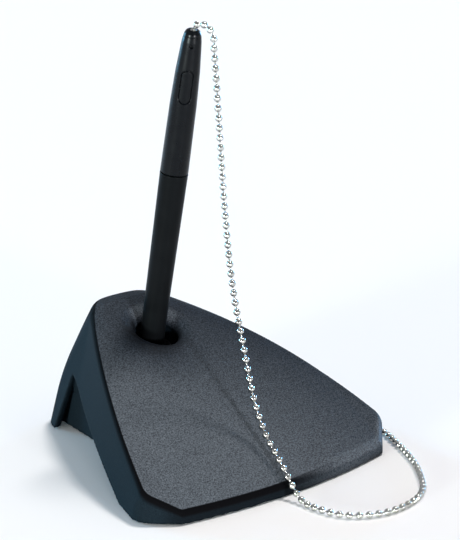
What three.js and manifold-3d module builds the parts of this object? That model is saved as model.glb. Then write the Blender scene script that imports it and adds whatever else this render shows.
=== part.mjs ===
// A counter pen on a weighted wedge base, tethered by a ball chain.
// Millimetres, +Z up. The origin is on the ground at the middle of the base's depth, on its plane of
// symmetry, with the low front edge towards -Y and the tall rear leg towards +Y.

import * as THREE from "three";
import { mergeVertices } from "three/addons/utils/BufferGeometryUtils.js";
import Module from "manifold-3d";

const wasm = await Module();
wasm.setup();

// Clearances

const seatGap = 0.3; // between pieces that rest on or in each other
const runGap = 0.1; // inside the pen's pushed and screwed joints

// Base shell: outside

const baseDepth = 109.3; // foremost point of the front edge to the heel
const frontBow = 4.9; // how far the front edge bows out past its two corners
const frontHalf = 45.3; // half the bowed front edge
const chamferX = 8.5; // front corner cut, across
const chamferY = 8.7; // front corner cut, along
const frontHeight = 4.64; // top of the front edge above the ground
const frontRound = 2.5; // radius of the front edge's top
const cornerRound = 8; // radius of the upright corner between the cut and the side
const ridgeBack = 20.6; // ridge line forward of the heel
const ridgeHeight = 46; // where the plate and the leg would meet unrounded
const ridgeRound = 3.5;
const ridgeCrown = 2.3; // rise of the ridge's middle over its ends
const crownPower = 5; // how flat the crown is in the middle
const plateBulge = 3.3; // rise of the plate's line over its chord, seen from the side
const kneeBack = 2.2; // the rear leg's bend, forward of the heel
const kneeHeight = 20.3;
const kneeRound = 12;
const rearRound = 7.8; // radius of the rear leg's upright corners
const sideTopHalf = 17.2; // half the plate's width where its side edges end
const sideTopBack = 24.4; // that place, forward of the heel
const footHalf = 23; // half the rear foot's width at the ground, on the leaning sides
const footInset = 9.1; // that place, forward of the heel
const sideBulge = 3; // outward bow of each side along the plate's edge, over a flat side
const rimHeight = 0.4; // bottom of the walls above the ground
const rimRound = 1.2;

// Base shell: walls and inside

const plateWall = 2.6;
const skirtWall = 2.6;
const archFront = 25.6; // front end of each side arch, behind the front corners
const archApexBack = 17.1; // top of the arch, forward of the heel; it ends at the foot
const archApexHeight = 22.2;
const archRound = 1.6;
const spineFront = 22; // front wall of the closed box under the plate, behind the front corners
const spineRearBack = 6.2; // where the box's width is given, forward of the heel
const spineRearHalf = 16.5;
const spineShare = 0.44; // how much of each side's taper the box's side wall has
const spineWall = 2;

// Places along the base

const heelY = baseDepth / 2;
const cornerLineY = -baseDepth / 2 + frontBow; // the line through the front edge's two ends
const cornerHalf = frontHalf + chamferX;
const cornerY = cornerLineY + chamferY;
const ridgeY = heelY - ridgeBack;
const behindCorners = (distance) => cornerLineY + distance;
const aheadOfHeel = (distance) => heelY - distance;

// Pen

const penLean = THREE.MathUtils.degToRad(11.6); // forward of upright
const penFootBack = 36.7; // where its axis meets the socket's mouth, forward of the heel
const penFootSink = 1.55; // that place below the dish's floor
const tipDepth = 24; // writing point below that place, along the axis
const barrelRadius = 4.78; // at the joint of the two barrels
const gripRadius = 4.3; // of the lower barrel in its socket
const jointAbove = 60; // barrel joint above the dish, along the axis
const jointChamfer = 0.25;
const gripAbove = 12; // the grip's even stretch ends here, along the axis
const lowerBore = 3.1;
const upperBore = 3.1;
const boreLength = 24; // joint to where the upper barrel's bore narrows to the plug's
const bodyLength = 24.4; // joint to where the upper barrel tapers more
const bodyRadius = 4.5;
const waistLength = 11.6;
const waistRadius = 4.08;
const neckLength = 8;
const neckRadius = 3.48;
const endLength = 3.9;
const endRadius = 2.88;
const bodyAbove = jointAbove + bodyLength;
const waistAbove = bodyAbove + waistLength;
const neckAbove = waistAbove + neckLength;
const endAbove = neckAbove + endLength; // top of the upper barrel
const noseTop = -9; // nose cone's shoulder, along the axis
const noseBottom = -21.6;
const noseTipRadius = 1.6;
const noseShoulder = 0.5; // step in from the shoulder to the cone, over noseShoulderLength
const noseShoulderLength = 2;
const noseSpigot = 6; // length of the nose cone's thread in the barrel
const tipPoint = 0.4; // radius of the writing ball
const tipPointLength = 0.2;
const tipRadius = 1.1;
const tipCone = 2.6; // length of the bare cone
const tipShank = 7;
const tipPlug = 4; // length of the tip's stem in the refill tube
const refillRadius = 1.5;
const refillBore = 0.9;
const refillPastCoupling = 0.9;
const couplingLength = 18;
const couplingBore = 1.9;
const stopLength = 4;
const stopVent = 0.5;

// Socket in the base

const dishBack = 39.2; // middle of the dish, forward of the heel
const dishRadius = 11; // edge of the soft dish round the pen
const dishDepth = 2.4;
const dishSoft = 1.6; // width of the soft lip between the dish's floor and the hole
const wellRadius = 7.4; // hole in the plate
const wellDepth = 6.8;
const spigotWall = 1.9;
const spigotLength = 14;
const mouthDepth = 5; // funnel's top edge below the pen's foot point
const mouthRadius = 6.7;
const funnelDepth = 4;
const socketClearance = 0.55; // round the pen's grip
const socketWall = 1.5;
const socketFloor = 2.2;
const socketFlange = 1.4;
const padThickness = 1.2;

// Chain

const beadRadius = 1.2;
const beadPitch = 3.2;
const linkRadius = 0.3;
const plugBore = 1.45;
const plugSpigot = 1.95;
const plugSpigotLength = 8;
const plugRise = 2.1; // of its dome over the barrel's end
const plugDomeRadius = 2.78;
const exitBeadSunk = 0.65; // middle of the first ball outside, below the dome's top
const mouthWall = 0.9; // lip between that ball and the captured one
const mouthLip = 0.75; // radius of the way through the lip: wider than a link, narrower than a ball
const catchRadius = 0.5;
const catchBelow = 2.7; // the plug's catch in the barrel's hole, below the barrel's end
const catchSunk = 0.2; // below the barrel's face
const facing = THREE.MathUtils.degToRad(-41); // turn of the pen's marked side from -Y towards -X
const ovalUp = 31.5; // middle of the plain oval outline, above the joint
const ovalLength = 11.6;
const ovalWidth = 4.3;
const ovalLine = 0.35;
const ovalDepth = 0.15;

// Underside

const padRadius = 4.5;
const padHeight = 1.5;
const frontPadInset = 9.3; // from the front edge's end, across
const frontPadBehind = 12; // behind the front corners
const rearPadX = 9;
const rearPadBack = 12.4; // forward of the heel
const padBossRadius = 5.3;
const coverThickness = 1.8;
const coverEndGap = 2; // cover's rear edge to the leg's wall at the ground
const coverScrewFrontX = 20;
const coverScrewFrontBehind = 30;
const coverScrewRearX = 10.5;
const coverScrewRearBack = 21.4;
const screwShank = 1.2;
const screwHead = 2.5;
const screwHeadHeight = 1.4;
const screwLength = 8;
const postRadius = 3;
const pilotRadius = 1.35;
const pilotSpare = 2; // depth of a screw's hole past its point
const ballastUnderSocket = 0.6;
const ballastFrontBehind = 35;
const ballastRearBack = 26.4;
const ballastSideGap = 0.8;

// Chain anchor

const anchorOut = 4.4; // beside the box's wall
const anchorBehind = 36.5;
const anchorPostBottom = 5.2;
const anchorPostRadius = 3.2;
const anchorHead = 2.7;
const anchorHeadHeight = 1.8;
const anchorHeadEdge = 0.6; // rounding of its rim
const anchorScrewLength = 6;
const eyeletRadius = 3;
const eyeletThickness = 0.6;
const eyeletReach = 5.2; // screw to the clasp's near end
const claspLength = 3.4;
const claspWidth = 3.2;
const claspHeight = 3;
const strapHalf = 1.2; // half the width of the strap between the eyelet and its clasp
const eyeletTurn = THREE.MathUtils.degToRad(32); // from +X towards +Y

// How finely round forms are drawn

const roundSteps = 28;
const smallSteps = 12;
const cornerSteps = 4;
const farBelow = -6; // deeper than any underside, so that a cut leaves it open
const farAbove = 70;
const past = 1; // how far a cutter runs past the face it opens

// Materials

const plastic = (color, roughness) => new THREE.MeshStandardMaterial({ color, roughness, metalness: 0 });
const metal = (color, roughness) => new THREE.MeshStandardMaterial({ color, roughness, metalness: 1 });
const shellBlack = plastic(0x2a2b2e, 0.55);
const insideBlack = plastic(0x202124, 0.6);
const penBlack = plastic(0x17181b, 0.35);
const rubber = plastic(0x1b1b1b, 0.9);
const nickel = metal(0xc9cbcd, 0.2);
const steel = metal(0x8d9094, 0.45);
const refillPlastic = plastic(0x2b3c7a, 0.4);
const brass = metal(0xb5954c, 0.3);

// Solids: a closed geometry becomes a solid for joining and cutting, and goes back for its mesh.

function solidOf(geometry) {
  const bare = new THREE.BufferGeometry();
  bare.setAttribute("position", geometry.getAttribute("position").clone());
  if (geometry.index) bare.setIndex(geometry.index);
  const merged = mergeVertices(bare, 1e-4);
  const corners = Array.from(merged.index.array);
  const kept = [];
  for (let i = 0; i < corners.length; i += 3) {
    const [a, b, c] = corners.slice(i, i + 3);
    if (a !== b && b !== c && c !== a) kept.push(a, b, c);
  }
  return new wasm.Manifold(
    new wasm.Mesh({
      numProp: 3,
      vertProperties: merged.attributes.position.array,
      triVerts: new Uint32Array(kept),
    }),
  );
}

function geometryOf(solid) {
  const mesh = solid.getMesh();
  const positions = new Float32Array(mesh.numVert * 3);
  for (let i = 0; i < mesh.numVert; i++) {
    const start = i * mesh.numProp;
    positions.set(mesh.vertProperties.subarray(start, start + 3), i * 3);
  }
  const geometry = new THREE.BufferGeometry();
  geometry.setAttribute("position", new THREE.BufferAttribute(positions, 3));
  geometry.setIndex(new THREE.BufferAttribute(new Uint32Array(mesh.triVerts), 1));
  return geometry;
}

// A closed skin over equal rings of points. Each ring turns anticlockwise seen from the last ring's side.
function loft(rings, toPlane) {
  const count = rings[0].length;
  const faces = [];
  for (let k = 0; k + 1 < rings.length; k++) {
    for (let i = 0; i < count; i++) {
      const a = k * count + i;
      const b = k * count + ((i + 1) % count);
      faces.push(a, b, b + count, a, b + count, a + count);
    }
  }
  const last = (rings.length - 1) * count;
  for (const [a, b, c] of THREE.ShapeUtils.triangulateShape(rings[0].map(toPlane), [])) faces.push(c, b, a);
  for (const [a, b, c] of THREE.ShapeUtils.triangulateShape(rings[rings.length - 1].map(toPlane), [])) {
    faces.push(last + a, last + b, last + c);
  }
  const geometry = new THREE.BufferGeometry();
  const positions = rings.flat().flatMap((p) => [p.x, p.y, p.z]);
  geometry.setAttribute("position", new THREE.Float32BufferAttribute(positions, 3));
  geometry.setIndex(faces);
  return geometry;
}

// An upright prism over a plan outline, from one height to another.
function upright(plan, bottom, top) {
  const shape = new THREE.Shape(plan.map(([x, y]) => new THREE.Vector2(x, y)));
  const prism = new THREE.ExtrudeGeometry(shape, { depth: top - bottom, bevelEnabled: false });
  return prism.translate(0, 0, bottom);
}

function upCylinder(radius, x, y, bottom, top, steps = smallSteps) {
  const geometry = new THREE.CylinderGeometry(radius, radius, top - bottom, steps);
  return geometry.rotateX(Math.PI / 2).translate(x, y, (top + bottom) / 2);
}

// A piece turned about Z from a profile of [radius, height] points, anticlockwise beside the axis.
function turned(profile, steps = roundSteps) {
  const points = profile.map(([r, z]) => new THREE.Vector2(r, z));
  const closed = points[0].x > 0 ? [...points, points[0].clone()] : points;
  return new THREE.LatheGeometry(closed, steps).rotateX(Math.PI / 2);
}

// Corners [u, v, radius] of a closed outline become points, with each corner rounded by an arc.
function rounded(corners) {
  const at = (i) => new THREE.Vector2(...corners[(i + corners.length) % corners.length]);
  return corners.flatMap(([u, v, radius], i) => {
    const corner = new THREE.Vector2(u, v);
    if (!radius) return [corner];
    const back = at(i - 1).sub(corner);
    const ahead = at(i + 1).sub(corner);
    const half = Math.abs(back.angleTo(ahead)) / 2;
    const reach = Math.min(radius / Math.tan(half), 0.45 * back.length(), 0.45 * ahead.length());
    const r = reach * Math.tan(half);
    const start = corner.clone().addScaledVector(back.normalize(), reach);
    const end = corner.clone().addScaledVector(ahead.normalize(), reach);
    const centre = corner.clone().addScaledVector(back.clone().add(ahead).normalize(), r / Math.sin(half));
    const from = start.clone().sub(centre).angle();
    let turn = end.clone().sub(centre).angle() - from;
    if (turn > Math.PI) turn -= 2 * Math.PI;
    if (turn < -Math.PI) turn += 2 * Math.PI;
    return Array.from({ length: cornerSteps + 1 }, (_, k) => {
      const angle = from + (turn * k) / cornerSteps;
      return new THREE.Vector2(centre.x + r * Math.cos(angle), centre.y + r * Math.sin(angle));
    });
  });
}

// Corners [u, v, radius] of an anticlockwise outline, each edge moved inwards by the wall.
function inset(corners, wall) {
  const count = corners.length;
  const normal = (i) => {
    const [u0, v0] = corners[(i + count) % count];
    const [u1, v1] = corners[(i + 1) % count];
    return new THREE.Vector2(v0 - v1, u1 - u0).normalize();
  };
  return corners.map(([u, v, radius], i) => {
    const before = normal(i - 1);
    const after = normal(i);
    const move = before.clone().add(after).multiplyScalar(wall / (1 + before.dot(after)));
    return [u + move.x, v + move.y, Math.max(radius - wall, 0)];
  });
}

// Base shell: form

// The front edge's place along Y: a shallow bow between the corners, then the corner cuts.
function frontAt(x) {
  const out = Math.abs(x) - frontHalf;
  if (out > 0) return cornerLineY + (out * chamferY) / chamferX;
  return cornerLineY - frontBow * (1 - (x / frontHalf) ** 2);
}

function plateHeight(x, y) {
  const front = Math.min(frontAt(x), cornerLineY);
  const t = (y - front) / (ridgeY - front);
  return frontHeight + (ridgeHeight - frontHeight) * t + 4 * plateBulge * t * (1 - t);
}

// Each side leans in: it passes the plate's front corner, the end of the plate's edge and the rear foot.
// Along the plate's edge it bows outwards, less and less towards the ground.
const sideCorner = new THREE.Vector3(cornerHalf, cornerY, plateHeight(cornerHalf, cornerY));
const sideTopY = heelY - sideTopBack;
const sideTop = new THREE.Vector3(sideTopHalf, sideTopY, plateHeight(cornerHalf, sideTopY));
const sideFoot = new THREE.Vector3(footHalf, heelY - footInset, 0);
const sideNormal = new THREE.Plane().setFromCoplanarPoints(sideCorner, sideTop, sideFoot).normal;

function sideAt(y, z) {
  const flat =
    sideCorner.x - (sideNormal.y * (y - sideCorner.y) + sideNormal.z * (z - sideCorner.z)) / sideNormal.x;
  const t = THREE.MathUtils.clamp((y - cornerY) / (sideTopY - cornerY), 0, 1);
  return flat + (4 * sideBulge * t * (1 - t) * z) / plateHeight(cornerHalf, y);
}

// How far a round upright corner takes the rear surface forward, at a place across.
const levelNormal = new THREE.Vector2(sideNormal.x, sideNormal.y)
  .normalize()
  .multiplyScalar(Math.sign(sideNormal.x));
const rearCentre = (rearRound * (1 - levelNormal.y)) / levelNormal.x;
function rearCut(x, y, z) {
  const out = Math.min(Math.abs(x) - (sideAt(y, z) - rearCentre), 0.97 * rearRound);
  return out > 0 ? rearRound - Math.sqrt(rearRound ** 2 - out ** 2) : 0;
}

function crownAt(x, y, z) {
  const across = Math.min(Math.abs(x) / Math.max(sideAt(y, z), 1), 1);
  return ridgeCrown * (Math.max(z, 0) / ridgeHeight) ** 2 * (1 - across ** crownPower);
}

// The shell's outline in the plane at a place across: up the leg, over the ridge and down the plate.
const plateSteps = 8;
function sectionAt(x, wall) {
  const front = frontAt(x);
  const rear = (y, z, round) => [y - rearCut(x, y, z), z, round];
  const ridge = rear(ridgeY, ridgeHeight, ridgeRound);
  const plate = Array.from({ length: plateSteps - 1 }, (_, k) => {
    const y = ridge[0] + ((front - ridge[0]) * (k + 1)) / plateSteps;
    return [y, plateHeight(x, y), 0];
  });
  const corners = [
    [front, rimHeight, rimRound],
    rear(heelY, rimHeight, rimRound),
    rear(heelY - kneeBack, kneeHeight, kneeRound),
    [ridge[0], plateHeight(x, ridge[0]), ridgeRound],
    ...plate,
    [front, plateHeight(x, front), frontRound],
  ];
  if (!wall) return rounded(corners);
  const inner = inset(corners, wall);
  inner[0] = [inner[0][0], farBelow, 0];
  inner[1] = [inner[1][0], farBelow, 0];
  return rounded(inner);
}

const acrossHalf = [5, 8.5, 11, 13, 14.5, 16, 17.5, 19, 20.5, 22, 23.5, 28, 36, frontHalf, 49.5, 54, 62];
const across = [...acrossHalf.map((x) => -x).reverse(), 0, ...acrossHalf];

function sectionForm(wall) {
  const rings = across.map((x) =>
    sectionAt(x, wall).map((p) => new THREE.Vector3(x, p.x, p.y + crownAt(x, p.x, p.y + wall))),
  );
  return solidOf(loft(rings, (p) => new THREE.Vector2(p.y, p.z)));
}

// The plan between the two leaning sides, with the front corners cut and rounded, at one height.
const sideSteps = 8;
const pastHeel = 2;
const planTop = ridgeHeight + ridgeCrown + past;
const cornerPasses = 20; // rounds of finding where the side meets the corner cut
function planAt(z, wall) {
  const cutLean = chamferX / chamferY;
  const beyond = 25; // far enough ahead of the front edge to leave its bow whole
  const start = [frontHalf - beyond * cutLean, cornerLineY - beyond, 0];
  let cornerAtHeight = cornerY;
  for (let k = 0; k < cornerPasses; k++) {
    cornerAtHeight = cornerLineY + (sideAt(cornerAtHeight, z) - frontHalf) / cutLean;
  }
  const right = [
    start,
    [sideAt(cornerAtHeight, z), cornerAtHeight, cornerRound],
    ...Array.from({ length: sideSteps }, (_, k) => {
      const y = cornerAtHeight + ((ridgeY - cornerAtHeight) * (k + 1)) / sideSteps;
      return [sideAt(y, z), y, 0];
    }),
    [sideAt(heelY + pastHeel, z), heelY + pastHeel, 0],
  ];
  const left = right.map(([x, y, r]) => [-x, y, r]).reverse();
  const corners = inset([...right, ...left], wall);
  return rounded(corners).map((p) => new THREE.Vector3(p.x, p.y, z));
}

function planForm(wall) {
  const rings = [planAt(farBelow, wall), planAt(planTop, wall)];
  return solidOf(loft(rings, (p) => new THREE.Vector2(p.x, p.y)));
}

const outerForm = sectionForm(0).intersect(planForm(0));
const innerForm = sectionForm(plateWall).intersect(planForm(skirtWall));

// Underneath: the closed box with its tapering walls

const spineRearY = aheadOfHeel(spineRearBack);
const spineHalfAt = (y) => spineRearHalf + spineShare * (sideAt(y, 0) - sideAt(spineRearY, 0));

function spinePlan(wall, rearY) {
  const frontY = behindCorners(spineFront) + wall;
  const frontX = spineHalfAt(frontY) - wall;
  const rearX = spineHalfAt(rearY) - wall;
  return [
    [-frontX, frontY],
    [frontX, frontY],
    [rearX, rearY],
    [-rearX, rearY],
  ];
}

const spineBlock = solidOf(upright(spinePlan(0, heelY + pastHeel), rimHeight, farAbove));
const spineRoom = solidOf(upright(spinePlan(spineWall, heelY + 2 * pastHeel), farBelow, farAbove + past));
const spineWalls = spineBlock.subtract(spineRoom);

// The arch in each skirt, cut from outside up to the closed box
function archCut(side) {
  const corners = [
    [behindCorners(archFront), farBelow, 0],
    [aheadOfHeel(footInset), farBelow, 0],
    [aheadOfHeel(footInset), 0, 0],
    [aheadOfHeel(archApexBack), archApexHeight, archRound],
    [behindCorners(archFront), 0, 0],
  ];
  const outline = rounded(corners);
  const ring = (x) => outline.map((p) => new THREE.Vector3(x, p.x, p.y));
  const near = side < 0 ? -farAbove : 0;
  const far = side < 0 ? 0 : farAbove;
  const through = solidOf(loft([ring(near), ring(far)], (p) => new THREE.Vector2(p.y, p.z)));
  return through.subtract(spineBlock).subtract(rearWallBand);
}

// The rear leg's own wall, which the arches leave whole
const rearWallBand = outerForm.subtract(sectionForm(plateWall));

// Dish frame: its origin is the middle of the dish's floor, and its Z is square to the plate there.
// The well runs down square to the plate too, and meets the socket's tube, which follows the pen.

const dishY = aheadOfHeel(dishBack);
const plateLean = Math.atan(plateHeight(0, dishY + 0.5) - plateHeight(0, dishY - 0.5));
const dishTop = plateHeight(0, dishY) + crownAt(0, dishY, plateHeight(0, dishY));
const dishFrame = new THREE.Matrix4().makeRotationX(plateLean).setPosition(0, dishY, dishTop - dishDepth);
const inDishFrame = (geometry) => geometry.clone().applyMatrix4(dishFrame);

// Pen frame: its origin is where the pen's axis meets the socket's mouth, and its Z is the axis

const penFootY = aheadOfHeel(penFootBack);
const penFootHeight = dishTop - dishDepth + (penFootY - dishY) * Math.tan(plateLean) - penFootSink;
const penFoot = new THREE.Vector3(0, penFootY, penFootHeight);
const penFrame = new THREE.Matrix4().makeRotationX(penLean).setPosition(penFoot);
const inPenFrame = (geometry) => geometry.clone().applyMatrix4(penFrame);

const clearAbove = 20; // height of the dish's cutter, past the ridge
const dishCut = turned([
  [0, -wellDepth],
  [wellRadius, -wellDepth],
  [wellRadius, -dishDepth / 5],
  [wellRadius + dishSoft / 3, 0],
  [wellRadius + dishSoft, dishDepth * 0.4],
  [dishRadius, dishDepth],
  [dishRadius + dishSoft, dishDepth * 2],
  [dishRadius + dishSoft, clearAbove],
  [0, clearAbove],
]);
const tubeCut = turned([
  [0, -spigotLength - past],
  [wellRadius, -spigotLength - past],
  [wellRadius, -mouthDepth + seatGap],
  [0, -mouthDepth + seatGap],
]);
const spigot = turned([
  [0, -spigotLength],
  [wellRadius + spigotWall, -spigotLength],
  [wellRadius + spigotWall, 0],
  [0, 0],
]);

// Posts under the plate

const seatHeight = padHeight + seatGap; // underside of the posts and of the cover, over the foot pads
const coverTop = seatHeight + coverThickness;
const frontPadX = frontHalf - frontPadInset;
const frontPads = [
  [-frontPadX, behindCorners(frontPadBehind)],
  [frontPadX, behindCorners(frontPadBehind)],
];
const rearPads = [
  [-rearPadX, aheadOfHeel(rearPadBack)],
  [rearPadX, aheadOfHeel(rearPadBack)],
];
const coverScrews = [
  [-coverScrewFrontX, behindCorners(coverScrewFrontBehind)],
  [coverScrewFrontX, behindCorners(coverScrewFrontBehind)],
  [-coverScrewRearX, aheadOfHeel(coverScrewRearBack)],
  [coverScrewRearX, aheadOfHeel(coverScrewRearBack)],
];
const anchorY = behindCorners(anchorBehind);
const anchor = [spineHalfAt(anchorY) + anchorOut, anchorY];
const postBottom = coverTop + seatGap;
const anchorPilotTop = anchorPostBottom + anchorScrewLength + pilotSpare;

function makeShell() {
  let room = innerForm.subtract(spineWalls);
  const posts = [
    ...frontPads.map(([x, y]) => upCylinder(padBossRadius, x, y, seatHeight, farAbove)),
    ...coverScrews.map(([x, y]) => upCylinder(postRadius, x, y, postBottom, farAbove)),
    upCylinder(anchorPostRadius, ...anchor, anchorPostBottom, farAbove),
    inPenFrame(spigot),
  ];
  for (const post of posts) room = room.subtract(solidOf(post));
  let shell = outerForm.subtract(room);
  for (const side of [-1, 1]) shell = shell.subtract(archCut(side));
  const pilots = [
    ...coverScrews.map(([x, y]) =>
      upCylinder(pilotRadius, x, y, postBottom - past, seatHeight + screwLength + pilotSpare),
    ),
    upCylinder(pilotRadius, ...anchor, anchorPostBottom - past, anchorPilotTop),
  ];
  for (const cut of [inDishFrame(dishCut), inPenFrame(tubeCut), ...pilots]) {
    shell = shell.subtract(solidOf(cut));
  }
  return geometryOf(shell);
}

const root = new THREE.Group();
function add(name, geometry, material, parent = root) {
  const mesh = new THREE.Mesh(geometry, material);
  mesh.name = name;
  parent.add(mesh);
  return mesh;
}

add("base_shell", makeShell(), shellBlack);

// Foot pads

frontPads.forEach(([x, y], i) => {
  add(`foot_pad_front_${i + 1}`, upCylinder(padRadius, x, y, 0, padHeight), rubber);
});
rearPads.forEach(([x, y], i) => {
  add(`foot_pad_rear_${i + 1}`, upCylinder(padRadius, x, y, 0, padHeight), rubber);
});

// Bottom cover, closing the box under the plate

const coverRearY = heelY - plateWall - coverEndGap;
const coverPlan = spinePlan(spineWall + seatGap, coverRearY);
const countersink = (x, y) =>
  turned(
    [
      [0, seatHeight - past],
      [screwHead + seatGap, seatHeight - past],
      [screwHead + seatGap, seatHeight],
      [screwShank + seatGap, seatHeight + screwHeadHeight],
      [screwShank + seatGap, coverTop + past],
      [0, coverTop + past],
    ],
    smallSteps,
  ).translate(x, y, 0);
let cover = solidOf(upright(coverPlan, seatHeight, coverTop));
for (const [x, y] of coverScrews) cover = cover.subtract(solidOf(countersink(x, y)));
add("bottom_cover", geometryOf(cover), insideBlack);

coverScrews.forEach(([x, y], i) => {
  const screw = turned(
    [
      [0, 0],
      [screwHead, 0],
      [screwShank, screwHeadHeight],
      [screwShank, screwLength],
      [0, screwLength + screwShank],
    ],
    smallSteps,
  );
  add(`cover_screw_${i + 1}`, screw.translate(x, y, seatHeight), steel);
});

// Socket, pressed up into the spigot from below

const pen = new THREE.Group();
pen.position.copy(penFoot);
pen.rotation.x = penLean;
root.add(pen);

const socketBore = gripRadius + socketClearance;
const socketRadius = wellRadius - seatGap;
const tubeRadius = socketBore + socketWall;
const socketInside = -tipDepth - seatGap - padThickness - seatGap;
const flangeTop = -spigotLength - seatGap;
add(
  "pen_socket",
  turned([
    [0, socketInside - socketFloor],
    [tubeRadius, socketInside - socketFloor],
    [tubeRadius, flangeTop - socketFlange],
    [wellRadius + spigotWall, flangeTop - socketFlange],
    [wellRadius + spigotWall, flangeTop],
    [socketRadius, flangeTop],
    [socketRadius, -mouthDepth],
    [mouthRadius, -mouthDepth],
    [socketBore, -mouthDepth - funnelDepth],
    [socketBore, socketInside],
    [0, socketInside],
  ]),
  insideBlack,
  pen,
);
add(
  "socket_pad",
  turned([
    [0, socketInside + seatGap],
    [socketBore - seatGap, socketInside + seatGap],
    [socketBore - seatGap, socketInside + seatGap + padThickness],
    [0, socketInside + seatGap + padThickness],
  ]),
  rubber,
  pen,
);

// Steel ballast on the cover, between the screw posts and under the socket

function ballastPlan() {
  const frontY = behindCorners(ballastFrontBehind);
  const rearY = aheadOfHeel(ballastRearBack);
  const frontX = spineHalfAt(frontY) - spineWall - ballastSideGap;
  const rearX = spineHalfAt(rearY) - spineWall - ballastSideGap;
  return [
    [-frontX, frontY],
    [frontX, frontY],
    [rearX, rearY],
    [-rearX, rearY],
  ];
}
const socketLow =
  penFootHeight + (socketInside - socketFloor) * Math.cos(penLean) - tubeRadius * Math.sin(penLean);
add("ballast_weight", upright(ballastPlan(), coverTop + seatGap, socketLow - ballastUnderSocket), steel);

// Pen: lower barrel, nose cone and upper barrel

add(
  "pen_lower_barrel",
  turned([
    [lowerBore, noseTop + seatGap],
    [gripRadius, noseTop + seatGap],
    [gripRadius, gripAbove],
    [barrelRadius, jointAbove - seatGap / 2 - jointChamfer],
    [barrelRadius - jointChamfer, jointAbove - seatGap / 2],
    [lowerBore, jointAbove - seatGap / 2],
  ]),
  penBlack,
  pen,
);
const noseBore = refillRadius + runGap;
const tipBore = tipRadius + runGap;
const noseStep = -tipDepth + tipCone + tipShank; // where the refill's shoulder sits
add(
  "pen_nose_cone",
  turned([
    [tipBore, noseBottom],
    [noseTipRadius, noseBottom],
    [gripRadius - noseShoulder, noseTop - noseShoulderLength],
    [gripRadius, noseTop],
    [lowerBore - runGap, noseTop],
    [lowerBore - runGap, noseTop + noseSpigot],
    [noseBore, noseTop + noseSpigot],
    [noseBore, noseStep - seatGap],
    [tipBore, noseStep - seatGap],
  ]),
  penBlack,
  pen,
);

const upperBottom = jointAbove + seatGap / 2;
const plugSeat = plugSpigot + runGap;
const plugSpigotBottom = endAbove - plugSpigotLength;
function upperBarrel() {
  const body = solidOf(
    turned([
      [upperBore, upperBottom],
      [barrelRadius - jointChamfer, upperBottom],
      [barrelRadius, upperBottom + jointChamfer],
      [bodyRadius, bodyAbove],
      [waistRadius, waistAbove],
      [neckRadius, neckAbove],
      [(neckRadius + endRadius) / 2 + 0.1, (neckAbove + endAbove) / 2 + 0.8],
      [endRadius, endAbove],
      [plugSeat, endAbove],
      [plugSeat, plugSpigotBottom - seatGap],
      [upperBore, jointAbove + boreLength],
    ]),
  );
  const hole = catchPeg(catchRadius + runGap, plugSpigot, neckRadius + past);
  return geometryOf(body.subtract(hole).subtract(ovalGroove()));
}

// The plug's catch and its hole run out of the pen's marked side.
const towardsFace = (geometry) => geometry.rotateZ(facing);
const catchAbove = endAbove - catchBelow;
function catchPeg(radius, from, to) {
  const peg = new THREE.CylinderGeometry(radius, radius, to - from, smallSteps);
  return solidOf(towardsFace(peg.translate(0, -(from + to) / 2, 0)).translate(0, 0, catchAbove));
}

// The plain oval outline on the upper barrel: a shallow groove between two ovals
const curveSegments = 10; // in each quarter of the oval's ends
function ovalPrism(grow, from, to) {
  const half = ovalWidth / 2 + grow;
  const straight = ovalLength / 2 - ovalWidth / 2;
  const shape = new THREE.Shape();
  shape.absarc(0, straight, half, 0, Math.PI, false);
  shape.absarc(0, -straight, half, Math.PI, 2 * Math.PI, false);
  shape.closePath();
  const prism = new THREE.ExtrudeGeometry(shape, { depth: to - from, bevelEnabled: false, curveSegments });
  return towardsFace(prism.rotateX(Math.PI / 2).translate(0, -from, 0)).translate(0, 0, jointAbove + ovalUp);
}
function ovalGroove() {
  const inside = solidOf(ovalPrism(-ovalLine, -past, barrelRadius + 2 * past));
  const ring = solidOf(ovalPrism(0, 0, barrelRadius + past)).subtract(inside);
  const core = turned([
    [0, bodyAbove - 2],
    [bodyRadius - ovalDepth, bodyAbove - 2],
    [bodyRadius - ovalDepth, bodyAbove],
    [waistRadius - ovalDepth, waistAbove],
    [neckRadius - ovalDepth, neckAbove],
    [0, neckAbove],
  ]);
  return ring.subtract(solidOf(core));
}
add("pen_upper_barrel", upperBarrel(), penBlack, pen);

const couplingRadius = lowerBore - runGap;
add(
  "barrel_coupling",
  turned([
    [couplingBore, jointAbove - couplingLength / 2],
    [couplingRadius, jointAbove - couplingLength / 2],
    [couplingRadius, jointAbove + couplingLength / 2],
    [couplingBore, jointAbove + couplingLength / 2],
  ]),
  insideBlack,
  pen,
);

// Refill, from its point to the stop that keeps it forward

const refillBottom = noseStep + seatGap;
const refillTop = jointAbove + couplingLength / 2 + refillPastCoupling;
add(
  "refill_tip",
  turned(
    [
      [0, -tipDepth],
      [tipPoint, -tipDepth + tipPointLength],
      [tipRadius, -tipDepth + tipCone],
      [tipRadius, noseStep],
      [refillBore - runGap, noseStep],
      [refillBore - runGap, noseStep + tipPlug],
      [0, noseStep + tipPlug],
    ],
    smallSteps,
  ),
  brass,
  pen,
);
add(
  "refill_tube",
  turned(
    [
      [refillBore, refillBottom],
      [refillRadius, refillBottom],
      [refillRadius, refillTop],
      [refillBore, refillTop],
    ],
    smallSteps,
  ),
  refillPlastic,
  pen,
);
add(
  "refill_stop",
  turned(
    [
      [stopVent, refillTop + seatGap],
      [upperBore - runGap, refillTop + seatGap],
      [upperBore - runGap, refillTop + seatGap + stopLength],
      [stopVent, refillTop + seatGap + stopLength],
    ],
    smallSteps,
  ),
  insideBlack,
  pen,
);

// End plug: a catch holds it in the barrel, and its narrow lip keeps the chain's last ball in

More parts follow.
